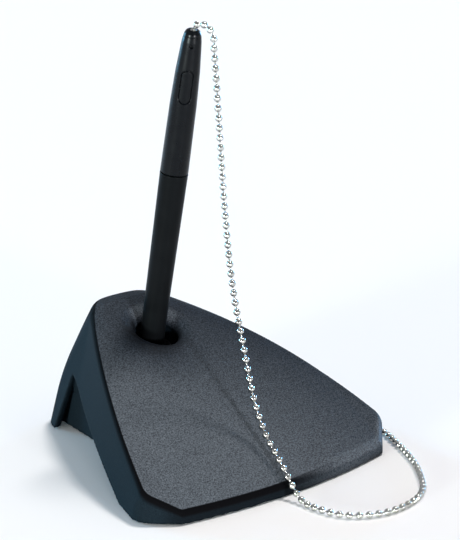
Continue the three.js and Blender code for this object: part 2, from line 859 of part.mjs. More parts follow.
const domeEdge = endAbove + seatGap;
const plugTop = domeEdge + plugRise;
const exitBead = plugTop - exitBeadSunk;
const lipTop = exitBead - beadRadius;
const plugBody = solidOf(
  turned([
    [plugBore, plugSpigotBottom],
    [plugSpigot, plugSpigotBottom],
    [plugSpigot, domeEdge],
    [plugDomeRadius, domeEdge],
    [plugDomeRadius - 0.05 * plugRise, domeEdge + 0.4 * plugRise],
    [plugDomeRadius - 0.25 * plugRise, domeEdge + 0.8 * plugRise],
    [plugDomeRadius - 0.5 * plugRise, plugTop],
    [plugBore, plugTop],
    [plugBore, lipTop],
    [mouthLip, lipTop],
    [mouthLip, lipTop - mouthWall],
    [plugBore, lipTop - mouthWall],
  ]),
);
const plugCatch = catchPeg(catchRadius, plugSpigot - runGap, neckRadius - catchSunk);
add("pen_end_plug", geometryOf(plugBody.add(plugCatch)), penBlack, pen);

// The chain's captured end: the ball under the lip and the first ball outside it, on their link

const lowestBead = exitBead - beadPitch;
function beadString(count, bottom) {
  const profile = [[0, bottom - beadRadius]];
  const arcSteps = 6;
  const neck = Math.asin(linkRadius / beadRadius);
  for (let k = 0; k < count; k++) {
    const centre = bottom + k * beadPitch;
    const from = k === 0 ? -Math.PI / 2 : -Math.PI / 2 + neck;
    const to = k === count - 1 ? Math.PI / 2 : Math.PI / 2 - neck;
    for (let i = 0; i <= arcSteps; i++) {
      const angle = from + ((to - from) * i) / arcSteps;
      if (k === 0 && i === 0) continue;
      const r = k === count - 1 && i === arcSteps ? 0 : beadRadius * Math.cos(angle);
      profile.push([r, centre + beadRadius * Math.sin(angle)]);
    }
  }
  return turned(profile, smallSteps);
}
add("chain_end_bead", beadString(2, lowestBead), nickel, pen);

// Chain: the stretch that hangs from the pen's end, and the loop on the ground.
// Its points are across, behind the front corners, and height.

const chainDrop = [
  [0, 45, 147.1],
  [0.1, 43.8, 148],
  [0.4, 41.2, 148.3],
  [0.5, 38.1, 147.2],
  [0.3, 35.9, 144.4],
  [-0.5, 34.8, 141.2],
  [-1.2, 32.9, 130],
  [-1.5, 30.9, 112],
  [-1.6, 29, 93],
  [-1.9, 24.9, 66.7],
  [-2.2, 19, 45.5],
  [-2.9, 12.2, 26.6],
  [-3.6, 6, 17.5],
  [-4.3, -0.6, 11.6],
  [-4.6, -3.9, 8.6],
];
const chainLoop = [
  [-4.65, -4.4, 8.15],
  [-5, -7.4, 5.2],
  [-5.6, -11, 2.6],
  [-6.2, -15.4, 1.3],
  [-6.2, -20.6, 1.3],
  [-4.4, -28.6, 1.3],
  [0.6, -34.2, 1.3],
  [8, -37.5, 1.3],
  [15.6, -37.9, 1.3],
  [24, -36, 1.3],
  [31, -31.9, 1.3],
  [38.9, -23.4, 1.3],
  [45.2, -15.1, 1.3],
  [50.7, -5.7, 1.3],
  [55, 3, 1.3],
  [58.7, 11.7, 1.3],
  [60.8, 20.5, 1.3],
  [59.8, 29.5, 1.3],
  [55.6, 36.4, 1.3],
  [50, 41.2, 1.3],
  [45.8, 43.2, 1.6],
  [42.5, 42.9, 2.4],
  [39.3, 41.4, 3.4],
];

const cordStep = 4.1;
function cordTube(points) {
  const route = points.map(([x, y, z]) => new THREE.Vector3(x, behindCorners(y), z));
  const curve = new THREE.CatmullRomCurve3(route, false, "centripetal");
  const section = new THREE.Shape();
  section.absarc(0, 0, beadRadius, 0, 2 * Math.PI, false);
  const steps = Math.ceil(curve.getLength() / cordStep);
  const options = { steps, extrudePath: curve, bevelEnabled: false, curveSegments: 4 };
  return new THREE.ExtrudeGeometry(section, options);
}
add("chain_drop", cordTube(chainDrop), nickel);
add("chain_loop", cordTube(chainLoop), nickel);

// Anchor: a stamped eyelet with its clasp round the chain's last ball, held under its post by a screw

const eyeletTop = anchorPostBottom - seatGap;
const eyeletBottom = eyeletTop - eyeletThickness;
const claspEnd = eyeletReach + claspLength;
const eyeletHole = screwShank + seatGap;
const bar = (from, to, half, bottom) => {
  const box = new THREE.BoxGeometry(to - from, 2 * half, eyeletTop - bottom);
  return solidOf(box.translate((from + to) / 2, 0, (eyeletTop + bottom) / 2));
};
const eyelet = solidOf(upCylinder(eyeletRadius, 0, 0, eyeletBottom, eyeletTop))
  .add(bar(0, claspEnd - claspLength / 2, strapHalf, eyeletBottom))
  .add(bar(eyeletReach, claspEnd, claspWidth / 2, eyeletTop - claspHeight))
  .subtract(solidOf(upCylinder(eyeletHole, 0, 0, eyeletBottom - past, eyeletTop + past)));
const eyeletMesh = add("chain_anchor_eyelet", geometryOf(eyelet), nickel);
eyeletMesh.position.set(...anchor, 0);
eyeletMesh.rotation.z = eyeletTurn;

const anchorHeadTop = eyeletBottom - seatGap;
add(
  "chain_anchor_screw",
  turned(
    [
      [0, anchorHeadTop - anchorHeadHeight],
      [anchorHead - anchorHeadEdge, anchorHeadTop - anchorHeadHeight],
      [anchorHead, anchorHeadTop - anchorHeadHeight + anchorHeadEdge],
      [anchorHead, anchorHeadTop],
      [screwShank, anchorHeadTop],
      [screwShank, anchorPostBottom + anchorScrewLength],
      [0, anchorPostBottom + anchorScrewLength + screwShank],
    ],
    smallSteps,
  ).translate(...anchor, 0),
  steel,
);

export default root;
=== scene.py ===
"""A counter pen in its weighted wedge base, tethered by a ball chain."""

import bpy
import numpy as np
from mathutils import Matrix, Vector


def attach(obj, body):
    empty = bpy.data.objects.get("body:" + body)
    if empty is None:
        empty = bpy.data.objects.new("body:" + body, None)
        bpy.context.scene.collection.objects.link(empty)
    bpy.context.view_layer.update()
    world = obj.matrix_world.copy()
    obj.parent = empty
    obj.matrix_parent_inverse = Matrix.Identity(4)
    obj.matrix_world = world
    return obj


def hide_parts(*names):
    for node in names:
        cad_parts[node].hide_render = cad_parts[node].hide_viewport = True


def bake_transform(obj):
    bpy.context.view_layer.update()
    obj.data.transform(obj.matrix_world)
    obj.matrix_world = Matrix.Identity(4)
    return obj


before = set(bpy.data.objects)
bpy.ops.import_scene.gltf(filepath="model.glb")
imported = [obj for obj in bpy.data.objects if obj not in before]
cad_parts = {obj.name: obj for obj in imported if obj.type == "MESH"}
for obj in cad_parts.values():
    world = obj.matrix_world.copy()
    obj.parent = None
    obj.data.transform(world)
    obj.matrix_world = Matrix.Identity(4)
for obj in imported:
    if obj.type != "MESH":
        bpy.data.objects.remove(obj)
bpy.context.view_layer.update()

MM = 0.001

# Camera, light and floor.
# The camera stands low off the left front corner, with a long lens. A key lamp over the plate, two low
# lamps in front and two low blue ones behind light a pale floor. The sky is plain but for one dark
# patch on the camera's side, which puts the dark marks on the chain's balls.

camera_place = (-0.43346, -0.50137, 0.25792)
camera_right = (0.74177, -0.67066, 0.0)
camera_up = (0.18830, 0.20827, 0.95978)
camera_ahead = (0.64368, 0.71193, -0.28077)
camera_data = bpy.data.cameras.new("camera")
camera_data.sensor_width = 36.0
camera_data.lens = 136.70
camera_data.clip_start = 0.01
camera_data.clip_end = 50.0
camera = bpy.data.objects.new("camera", camera_data)
bpy.context.scene.collection.objects.link(camera)
turn = Matrix((camera_right, camera_up, [-c for c in camera_ahead])).transposed()
camera.matrix_world = Matrix.Translation(camera_place) @ turn.to_4x4()
bpy.context.scene.camera = camera
bpy.context.scene.view_settings.view_transform = "Standard"


def add_lamp(name, towards, strength, spread, color):
    """A far soft lamp: the direction to it, its light on a facing surface, its breadth in degrees."""
    data = bpy.data.lights.new(name, "SUN")
    data.energy = strength
    data.angle = np.radians(spread)
    data.color = color
    lamp = bpy.data.objects.new(name, data)
    lamp.rotation_euler = Vector(towards).to_track_quat("Z", "Y").to_euler()
    bpy.context.scene.collection.objects.link(lamp)


add_lamp("key_lamp", (0.36, -0.04, 0.93), 1.86, 9.0, (1.0, 0.985, 0.97))
add_lamp("low_left_lamp", (-0.954, -0.198, 0.05), 4.4, 12.0, (0.86, 1.0, 0.98))
add_lamp("low_right_lamp", (-0.19, -0.98, 0.03), 4.2, 5.0, (0.95, 0.97, 1.0))
add_lamp("rear_left_lamp", (-0.30, 0.95, 0.10), 3.4, 24.0, (0.22, 0.66, 1.0))
add_lamp("rear_right_lamp", (0.97, 0.22, 0.06), 2.6, 14.0, (0.22, 0.55, 1.0))


def node_maker(tree):
    """Returns a function that adds a node to the tree, sets its inputs, and links those that are
    sockets. An input is given by its name, or as i and its number."""

    def make(kind, out=0, settings=None, **inputs):
        node = tree.nodes.new(kind)
        for key, value in (settings or {}).items():
            setattr(node, key, value)
        for key, value in inputs.items():
            numbered = key[0] == "i" and key[1:].isdigit()
            socket = node.inputs[int(key[1:])] if numbered else node.inputs[key.replace("_", " ")]
            if isinstance(value, bpy.types.NodeSocket):
                tree.links.new(value, socket)
            else:
                socket.default_value = value
        return node.outputs[out] if node.outputs else None

    return make


def mix(make, share, low, high):
    """Adds a mix of two colours to a tree: low where the share is nought, high where it is one."""
    return make("ShaderNodeMix", out=2, settings={"data_type": "RGBA"}, Factor=share, i6=low, i7=high)


def rescale(make, value, low, high, first=0.0, last=1.0):
    """Adds a range to a tree: a value between low and high becomes one between first and last."""
    return make("ShaderNodeMapRange", Value=value, i1=low, i2=high, i3=first, i4=last)


def math(make, operation, a, b=0.5):
    """Adds a sum to a tree, of two values."""
    return make("ShaderNodeMath", settings={"operation": operation}, i0=a, i1=b)


def dot(make, a, b):
    """Adds the product of two directions to a tree: the cosine between them."""
    return make("ShaderNodeVectorMath", out=1, settings={"operation": "DOT_PRODUCT"}, i0=a, i1=b)


def new_material(name):
    """An empty material, with the function that adds nodes to it."""
    material = bpy.data.materials.new(name)
    material.use_nodes = True
    material.node_tree.nodes.clear()
    return material, node_maker(material.node_tree)


world = bpy.data.worlds.new("studio")
world.use_nodes = True
world.node_tree.nodes.clear()
make = node_maker(world.node_tree)
heading = make("ShaderNodeTexCoord", out=0)
height = make("ShaderNodeSeparateXYZ", out=2, Vector=heading)
rise = rescale(make, height, 0.16, 0.50)
air = mix(make, rise, (0.62, 0.66, 0.70, 1), (0.38, 0.395, 0.415, 1))
camera_side = Vector(camera_ahead) * -1
dark_along = (Vector(camera_right) - Vector(camera_up)).normalized()
dark_across = (Vector(camera_right) + Vector(camera_up)).normalized()


def near_plane(direction, half, soft):
    """One where the heading lies within half of the plane square to a direction, fading to nought."""
    off = math(make, "ABSOLUTE", dot(make, heading, direction))
    return rescale(make, off, half, half + soft, 1.0, 0.0)


on_side = math(make, "GREATER_THAN", dot(make, heading, camera_side), 0.0)
patch = math(make, "MULTIPLY", near_plane(dark_along, 0.50, 0.10), near_plane(dark_across, 0.24, 0.08))
air = mix(make, math(make, "MULTIPLY", patch, on_side), air, (0.03, 0.025, 0.02, 1))
air = make("ShaderNodeBackground", Color=air, Strength=1.0)
make("ShaderNodeOutputWorld", Surface=air)
bpy.context.scene.world = world

floor_half = 6.0
floor_mesh = bpy.data.meshes.new("floor")
floor_corners = [(x * floor_half, y * floor_half, 0) for x, y in ((-1, -1), (1, -1), (1, 1), (-1, 1))]
floor_mesh.from_pydata(floor_corners, [], [(0, 1, 2, 3)])
floor = bpy.data.objects.new("floor", floor_mesh)
bpy.context.scene.collection.objects.link(floor)
paper, make = new_material("pale_paper")
place = make("ShaderNodeTexCoord", out=3)
mottle = make("ShaderNodeTexNoise", Vector=place, Scale=3.0, Detail=2.0)
tone = mix(make, mottle, (0.905, 0.878, 0.872, 1), (0.920, 0.893, 0.885, 1))
sheet = make("ShaderNodeBsdfPrincipled", Base_Color=tone, Roughness=0.9, Specular_IOR_Level=0.1)
make("ShaderNodeOutputMaterial", Surface=sheet)
floor_mesh.materials.append(paper)


# Ball chain, with the two balls that hold the pen.
# Hollow steel balls of 2.4 mm, nickel plated, each pair joined by a short rod that turns freely in
# them. It leaves the pen's end, lies over the front edge, and runs under the right side to its anchor.

ball = 1.2  # radius
pitch = 3.2
rod = 0.3  # radius
front_corners = -49.75  # the chain's points are given behind this line along Y
chain_points = np.array([
    [0, 45, 147.1], [0.1, 43.8, 148], [0.4, 41.2, 148.3], [0.5, 38.1, 147.2], [0.3, 35.9, 144.4],
    [-0.5, 34.8, 141.2], [-1.2, 32.9, 130], [-1.5, 30.9, 112], [-1.6, 29, 93], [-1.9, 24.9, 66.7],
    [-2.2, 19, 45.5], [-2.9, 12.2, 26.6], [-3.6, 6, 17.5], [-4.3, -0.6, 11.6], [-4.6, -3.9, 8.6],
    [-5, -7.4, 5.2], [-5.6, -11, 2.6], [-6.2, -15.4, 1.3], [-6.2, -20.6, 1.3], [-4.4, -28.6, 1.3],
    [0.6, -34.2, 1.3], [8, -37.5, 1.3], [15.6, -37.9, 1.3], [24, -36, 1.3], [31, -31.9, 1.3],
    [38.9, -23.4, 1.3], [45.2, -15.1, 1.3], [50.7, -5.7, 1.3], [55, 3, 1.3], [58.7, 11.7, 1.3],
    [60.8, 20.5, 1.3], [59.8, 29.5, 1.3], [55.6, 36.4, 1.3], [50, 41.2, 1.3], [45.8, 43.2, 1.6],
    [42.5, 42.9, 2.4], [39.3, 41.4, 3.4],
])
chain_points[:, 1] += front_corners
pen_foot = np.array([0.0, 17.95, 38.212])  # where the pen's axis meets the socket's mouth
pen_lean = np.radians(11.6)
pen_axis = np.array([0.0, -np.sin(pen_lean), np.cos(pen_lean)])
exit_ball = 109.65  # along the pen's axis
anchor = np.array([31.39, -13.25])
anchor_turn = np.radians(32.0)
clasp_middle = 6.9  # from the anchor screw
clasp_height = 3.4


def route_through(points, fine=0.1):
    """A smooth curve through the points: on each stretch a cubic whose end slopes are the mean of its
    neighbours' slopes, weighted by the square root of their lengths; then even steps along it."""
    ends = np.vstack([2 * points[0] - points[1], points, 2 * points[-1] - points[-2]])
    gaps = np.sqrt(np.linalg.norm(np.diff(ends, axis=0), axis=1))[:, None]
    slopes = np.diff(ends, axis=0) / gaps
    before, after = gaps[:-1], gaps[1:]
    tangents = (slopes[:-1] * after + slopes[1:] * before) / (before + after)
    u = np.linspace(0, 1, 200)[None, :, None]
    p0, p1 = points[:-1, None], points[1:, None]
    reach = gaps[1:-1, None]
    m0, m1 = tangents[:-1, None] * reach, tangents[1:, None] * reach
    curve = ((2 * u**3 - 3 * u**2 + 1) * p0 + (u**3 - 2 * u**2 + u) * m0 + (3 * u**2 - 2 * u**3) * p1
             + (u**3 - u**2) * m1).reshape(-1, 3)
    along = np.concatenate([[0], np.cumsum(np.linalg.norm(np.diff(curve, axis=0), axis=1))])
    even = np.arange(0, along[-1], fine)
    return np.stack([np.interp(even, along, curve[:, k]) for k in range(3)], axis=1), even


def put_mesh(name, points, faces, material, smooth=True):
    """A mesh object from points in millimetres and faces with equal numbers of corners."""
    mesh = bpy.data.meshes.new(name)
    count = faces.shape[1]
    mesh.vertices.add(len(points))
    mesh.vertices.foreach_set("co", (points * MM).astype(np.float32).ravel())
    mesh.loops.add(faces.size)
    mesh.loops.foreach_set("vertex_index", faces.astype(np.int32).ravel())
    mesh.polygons.add(len(faces))
    mesh.polygons.foreach_set("loop_start", np.arange(0, faces.size, count, dtype=np.int32))
    mesh.update(calc_edges=True)
    mesh.polygons.foreach_set("use_smooth", np.full(len(faces), smooth))
    mesh.materials.append(material)
    made = bpy.data.objects.new(name, mesh)
    bpy.context.scene.collection.objects.link(made)
    return made


def skin_rings(rings):
    """Faces over rings of points with a pole at each end: ring k of n points follows the first pole,
    and the last pole follows the last ring. Poles are single points, as triangles meet there."""
    count, around = rings
    i = np.arange(around)
    j = (i + 1) % around
    k = np.arange(count - 1)[:, None] * around + 1
    sides = np.stack([k + i, k + j, k + j + around, k + i + around], axis=2).reshape(-1, 4)
    last = count * around + 1
    first_cap = np.stack([np.zeros_like(i), 1 + j, 1 + i], axis=1)
    last_cap = np.stack([np.full_like(i, last), last - around + i, last - around + j], axis=1)
    triangles = np.concatenate([sides[:, [0, 1, 2]], sides[:, [0, 2, 3]]])
    return np.concatenate([first_cap, triangles, last_cap])


def plated_metal(name, color, rough, edge_tint):
    """Bright plating: an even metal whose gloss varies a little from place to place, darker at a
    glancing angle, as thin nickel is."""
    material, make = new_material(name)
    place = make("ShaderNodeTexCoord", out=3)
    patch = make("ShaderNodeTexNoise", Vector=place, Scale=420.0, Detail=2.0)
    gloss = rescale(make, patch, 0.3, 0.7, rough * 0.7, rough * 1.5)
    cloud = make("ShaderNodeTexNoise", Vector=place, Scale=90.0, Detail=3.0)
    tone = mix(make, cloud, (*[0.86 * c for c in color], 1), (*color, 1))
    metal = make("ShaderNodeBsdfPrincipled", Base_Color=tone, Metallic=1.0, Roughness=gloss,
                 Specular_Tint=edge_tint)
    make("ShaderNodeOutputMaterial", Surface=metal)
    return material


nickel = plated_metal("nickel_plating", (0.66, 0.65, 0.615), 0.06, (0.16, 0.26, 0.34, 1))
exit_point = pen_foot + exit_ball * pen_axis
clasp_side = np.array([np.cos(anchor_turn), np.sin(anchor_turn)])
clasp_point = np.array([*(anchor + clasp_middle * clasp_side), clasp_height])
route, along = route_through(np.vstack([exit_point, chain_points, clasp_point]))
balls = int(along[-1] // pitch)
neck = np.arccos(rod / ball)  # the angle on a ball where the rod begins
angle = np.linspace(-neck, neck, 9)
place_along = (np.arange(1, balls + 1)[:, None] * pitch + ball * np.sin(angle)).ravel()
ring_radius = np.tile(ball * np.cos(angle), balls)
place_along = np.concatenate([[ball * 0.8], place_along])
ring_radius = np.concatenate([[rod], ring_radius])
place_along[-1] = min(place_along[-1], along[-1] - 0.2)
centres = np.stack([np.interp(place_along, along, route[:, k]) for k in range(3)], axis=1)
onward = np.stack([np.interp(place_along, along, np.gradient(route[:, k], along)) for k in range(3)],
                  axis=1)
onward /= np.linalg.norm(onward, axis=1)[:, None]
never_along = np.array([0.62, -0.30, 0.73])  # a direction that the chain never takes
across = np.cross(onward, never_along)
across /= np.linalg.norm(across, axis=1)[:, None]
upward = np.cross(onward, across)
facets = 14
spin = np.linspace(0, 2 * np.pi, facets, endpoint=False)[None, :, None]
outward = np.cos(spin) * across[:, None] + np.sin(spin) * upward[:, None]
rings = centres[:, None] + ring_radius[:, None, None] * outward
tips = np.array([centres[0] - 0.1 * onward[0], centres[-1] + 0.3 * onward[-1]])
points = np.concatenate([tips[:1], rings.reshape(-1, 3), tips[1:]])
chain = put_mesh("ball_chain", points, skin_rings((len(rings), facets)), nickel)


def carry_round(radius, height, spin):
    """Rings of points: a column of radii, or one for each point, and a column of heights, at every
    angle round the axis."""
    height = np.repeat(height, len(spin), axis=1)
    return np.stack([radius * np.cos(spin), radius * np.sin(spin), height], axis=2)


def skin_loop(count, around):
    """Faces over rings of points whose last ring joins the first, as round a tube's wall."""
    i = np.arange(around)
    j = (i + 1) % around
    k = np.arange(count)[:, None] * around
    n = ((np.arange(count) + 1) % count)[:, None] * around
    return np.stack([k + i, k + j, n + j, n + i], axis=2).reshape(-1, 4)


def leaned(points, lean):
    """Points turned about X by an angle, so that what stood up leans towards the front."""
    c, s = np.cos(lean), np.sin(lean)
    return points @ np.array([[1, 0, 0], [0, c, s], [0, -s, c]])


def turn_round(name, profile, material, facets, place, lean=0.0):
    """A closed piece turned about its own axis: the profile of radius and height is carried round in
    even steps, then leaned and moved to its place. A profile that starts on the axis ends on it."""
    profile = np.asarray(profile, float)
    closed_on_axis = profile[0, 0] < 1e-9 and profile[-1, 0] < 1e-9
    spin = np.linspace(0, 2 * np.pi, facets, endpoint=False)
    grid = carry_round(profile[:, :1], profile[:, 1:], spin)
    if closed_on_axis:
        points = np.concatenate([grid[0, :1], grid[1:-1].reshape(-1, 3), grid[-1, :1]])
        faces = skin_rings((len(profile) - 2, facets))
    else:
        points = grid.reshape(-1, 3)
        faces = skin_loop(len(profile), facets)
    return put_mesh(name, leaned(points, lean) + place, faces, material)


def rounded_profile(corners, steps=5):
    """Corners of radius, height and rounding become a smooth profile: each rounded corner is an arc
    that touches both its edges. Corners with no rounding stay sharp."""
    out = []
    count = len(corners)
    for i, (r, z, radius) in enumerate(corners):
        here = np.array([r, z], float)
        if not radius:
            out.append(here)
            continue
        back = np.array(corners[i - 1][:2], float) - here
        ahead = np.array(corners[(i + 1) % count][:2], float) - here
        back_length, ahead_length = np.linalg.norm(back), np.linalg.norm(ahead)
        back, ahead = back / back_length, ahead / ahead_length
        half = np.arccos(np.clip(back @ ahead, -1, 1)) / 2
        reach = min(radius / np.tan(half), 0.48 * back_length, 0.48 * ahead_length)
        middle = here + (back + ahead) / np.linalg.norm(back + ahead) * reach / np.cos(half)
        start, end = here + reach * back - middle, here + reach * ahead - middle
        sweep = np.arccos(np.clip(start @ end / (start @ start), -1, 1))
        t = np.linspace(0, 1, steps)[:, None]
        out.extend(middle + (np.sin((1 - t) * sweep) * start + np.sin(t * sweep) * end) / np.sin(sweep))
    return np.array(out)


def ball_arc(middle, start, end, steps=10):
    """Points round a ball on the axis, from one angle above its level to another."""
    bend = np.linspace(start, end, steps)
    return np.stack([ball * np.cos(bend), middle + ball * np.sin(bend)], axis=1)


held = np.concatenate([[[0, exit_ball - pitch - ball]],
                       ball_arc(exit_ball - pitch, -np.pi / 2 + 0.15, neck),
                       ball_arc(exit_ball, -neck, np.pi / 2 - 0.15), [[0, exit_ball + ball]]])
end_balls = turn_round("chain_end_balls", held, nickel, 20, pen_foot, pen_lean)
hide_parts("chain_end_bead")
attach(end_balls, "chain_end")
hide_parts("chain_drop", "chain_loop")
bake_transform(chain)


# Base shell.
# One injection moulding in black plastic with a fine grain: a sloping plate with a soft dished seat
# for the pen, leaning sides with arches cut in them, a rear leg, and inside it the walls of a closed box.
# Ribs, posts and arches run into one another, so its skin is drawn over a level function, not a grid.

front_bow = 4.9  # how far the middle of the front edge stands ahead of its corners
front_half = 45.3  # half its width
cut_width, cut_depth = 8.5, 8.7  # the cut corners
widest = -41.05  # where the plate is widest, along Y
ridge = 34.05  # the plate's rear end, along Y
edge_height, rise, swell = 4.64, 41.36, 13.2  # the plate's front edge, its rise and its arching
heel = 54.65  # the leg's foot, along Y
knee = (52.45, 20.3)  # where the leg bends forwards
lower_face, upper_face = (0.9939, 0.1099), (0.8131, 0.5821)  # the leg's outward directions, in Y and Z
wall = 2.6
crown_height, side_bow, leg_bow = 2.3, 4.2, 3.6  # how far each face swells beyond its corners
hollow_depth, hollow_inner, hollow_outer = 2.45, 6.6, 13.2  # the plate's dip round the seat
corner_round, leg_round = 11.0, 34.0
well_radius, well_depth, mouth_round = 7.4, 6.8, 2.2  # the seat's well and the rounding of its mouth
sleeve_radius, sleeve_length = 9.3, 14.0


def pared(a, b, radius, lean=0.0):
    """The space inside both levels, with the edge between them rounded: inside the wedge between the
    two faces' normals the level is the distance from the arc's centre less its radius. lean is the
    cosine of the angle between the normals."""
    u, v = a + radius, b + radius
    inside = (u > lean * v) & (v > lean * u)
    arc = np.sqrt(np.maximum(u * u + v * v - 2 * lean * u * v, 0) / (1 - lean * lean)) - radius
    return np.where(inside, arc, np.maximum(a, b))


def step_between(value, low, high):
    """Nought below low, one above high, and a smooth S between them."""
    t = np.clip((value - low) / (high - low), 0, 1)
    return t * t * (3 - 2 * t)


def plate_height(t):
    """The plate's height at a share of the way from its front edge to the ridge: a shallow parabola."""
    return edge_height + rise * t + swell * t * (1 - t)


def bowed_front(x, least):
    """The front edge's place along Y: a parabola through its corners, level past the least share."""
    return front_corners - front_bow * np.maximum(1 - (x / front_half) ** 2, least)


def plate_line(x, y):
    """Height of the plate before its crown, from the bowed front edge to the ridge, and its slope."""
    start = bowed_front(x, 0)
    t = np.minimum((y - start) / (ridge - start), 0.97)
    slope = (rise + swell * (1 - 2 * t)) / (ridge - start)
    return plate_height(t), slope


plate_length = ridge - front_corners
corner = np.array([front_half + cut_width, widest, plate_height(cut_depth / plate_length)])
top_y = 30.25
top = np.array([17.2, top_y, plate_height((top_y - front_corners) / plate_length)])
foot = np.array([23.0, 45.55, 0.0])
side_normal = np.cross(top - corner, foot - corner)
side_normal *= np.sign(side_normal[0]) / np.linalg.norm(side_normal)
seat_lean = np.radians(20.8)
seat = (0.0, 15.45, 38.812)
seat_slope = (0.9348, 0.3551)  # cosine and sine of the seat's lean
seat_rim = 41.212  # the plate's height there, before its hollow


def seat_distance(x, y, z):
    """Distance from the middle of the seat, measured along the plate."""
    return np.hypot(x, (y - seat[1]) * seat_slope[0] + (z - seat_rim) * seat_slope[1])


def side_place(y, z):
    """Half the base's width: a leaning plane through three corners, bowed outwards by a parabola along
    the plate's edge, less and less towards the ground."""
    flat = corner[0] - (side_normal[1] * (y - widest) + side_normal[2] * (z - corner[2])) / side_normal[0]
    t = (y - widest) / (top_y - widest)
    bow = 4 * t * (1 - t)
    bow = 0.5 * (bow + np.sqrt(bow * bow + 0.004))
    return flat + side_bow * bow * z / np.maximum(plate_line(corner[0] + 0 * y, y)[0], 2.0)


def outside_levels(x, y, z):
    """Levels of the plate and of the walls round it, negative inside, and the rounding between them.
    The plate has a crown over the middle, highest at the ridge, and a smooth hollow for the seat. The
    leg is two faces with a wide bend, whose upper one is bowed backwards."""
    across = np.abs(x)
    side = side_place(y, z)
    share = np.minimum(across / np.maximum(side, 1), 1) ** 5
    crown = crown_height * (np.clip(z - 1.2, 0, 60) / 46) ** 2 * (1 - share)
    low = z - crown
    height, slope = plate_line(x, y)
    hollow = 1 - step_between(seat_distance(x, y, z), hollow_inner, hollow_outer)
    height = height - hollow_depth * hollow
    plate = (low - height) / np.sqrt(1 + slope * slope)
    lower_leg = (y - heel) * lower_face[0] + low * lower_face[1]
    bulge = leg_bow * np.maximum(1 - (x / 18.5) ** 2, -1) * step_between(z, 14.0, 42.0)
    upper_leg = (y - knee[0] - bulge) * upper_face[0] + (low - knee[1]) * upper_face[1]
    leg = pared(lower_leg, upper_leg, leg_round, 0.872)
    flank = (across - side) * side_normal[0]
    walls = pared(leg, flank, corner_round, 0.46)
    front_slope = 2 * front_bow / front_half * x / front_half
    front = (bowed_front(x, -0.6) - y) / np.sqrt(1 + front_slope**2)
    cut = (across - front_half) * cut_depth - (y - front_corners) * cut_width
    cut = cut / np.hypot(cut_depth, cut_width)
    walls = pared(walls, pared(front, cut, 1.6, 0.84), 6.6 - 2.8 * step_between(z, 3.0, 8.5), 0.31)
    right_front = step_between(x, -18.0, 24.0) * step_between(-y, 40.0, 44.0)
    edge_round = 1.15 + 0.4 * step_between(y, 22.0, 33.0) + 0.8 * right_front
    return plate, leg, walls, edge_round


def tube_level(x, y, z, place, lean, radius):
    """Level of a round bar about a leaning axis through a place, and the height along that axis."""
    dy, dz = y - place[1], z - place[2]
    beside = dy * np.cos(lean) + dz * np.sin(lean)
    return np.sqrt((x - place[0]) ** 2 + beside**2) - radius, dz * np.cos(lean) - dy * np.sin(lean)


spine_front = -27.75  # the closed box's front wall, along Y
spine_wall = 2.0
spine_slope = -0.44 * side_normal[1] / side_normal[0]
# Each post: its place, its radius and its lower end. Those after the first two have screw holes.
posts = [(s * 36, -37.75, 5.3, 1.8) for s in (-1, 1)] + [(s * 20, -19.75, 3.0, 3.9) for s in (-1, 1)]
posts += [(s * 10.5, 33.25, 3.0, 3.9) for s in (-1, 1)] + [(anchor[0], anchor[1], 3.2, 5.2)]
pilots = [(x, y, 1.35, 12.8) for x, y, r, z in posts[2:]]
arch_front = -24.15  # the arch's front end, along Y
arch_top = (61.7, 22.2)  # its peak: behind its front end, and above the ground
arch_back = 8.0  # the peak's place ahead of its rear end


def shell_level(p):
    """How far each point is outside the shell, in millimetres: the rounded outside less the room
    under it, where box walls, posts and the socket's sleeve stand, less arches, seat and screw holes."""
    x, y, z = p[:, 0], p[:, 1], p[:, 2]
    plate, leg, walls, edge_round = outside_levels(x, y, z)
    outside = pared(plate, walls, edge_round)
    room = np.maximum(np.maximum(plate, walls), outside) + wall
    spine_half = 16.5 + spine_slope * (y - 48.45)
    spine = np.maximum(np.abs(x) - spine_half, spine_front - y)
    walls_of_box = pared(spine, -(spine + spine_wall), 0.3, -0.99)
    room = np.maximum(room, -walls_of_box)
    for px, py, radius, bottom in posts:
        post = np.maximum(np.hypot(x - px, y - py) - radius, bottom - z)
        room = np.maximum(room, -post)
    sleeve, depth = tube_level(x, y, z, pen_foot, pen_lean, sleeve_radius)
    room = np.maximum(room, -np.maximum(sleeve, np.maximum(-sleeve_length - depth, depth)))
    shell = pared(pared(outside, -room, 0.5), 0.4 - z, 0.6)
    rising = (z * arch_top[0] - (y - arch_front) * arch_top[1]) / np.hypot(*arch_top)
    falling = ((y - foot[1]) * arch_top[1] + z * arch_back) / np.hypot(arch_top[1], arch_back)
    arch = pared(rising, falling, 0.8, -0.62)
    arch = np.maximum(arch, -spine)
    arch = np.maximum(arch, np.maximum(plate, leg) + wall)
    shell = pared(shell, -arch, 0.5)
    well, depth = tube_level(x, y, z, seat, seat_lean, well_radius)
    shell = pared(shell, -np.maximum(well, -well_depth - depth), mouth_round, 0.0)
    bore, depth = tube_level(x, y, z, pen_foot, pen_lean, well_radius)
    shell = np.maximum(shell, -np.maximum(bore, np.maximum(depth + 4.7, -15.0 - depth)))
    for px, py, radius, top_end in pilots:
        hole = np.maximum(np.hypot(x - px, y - py) - radius, z - top_end)
        shell = np.maximum(shell, -hole)
    return shell


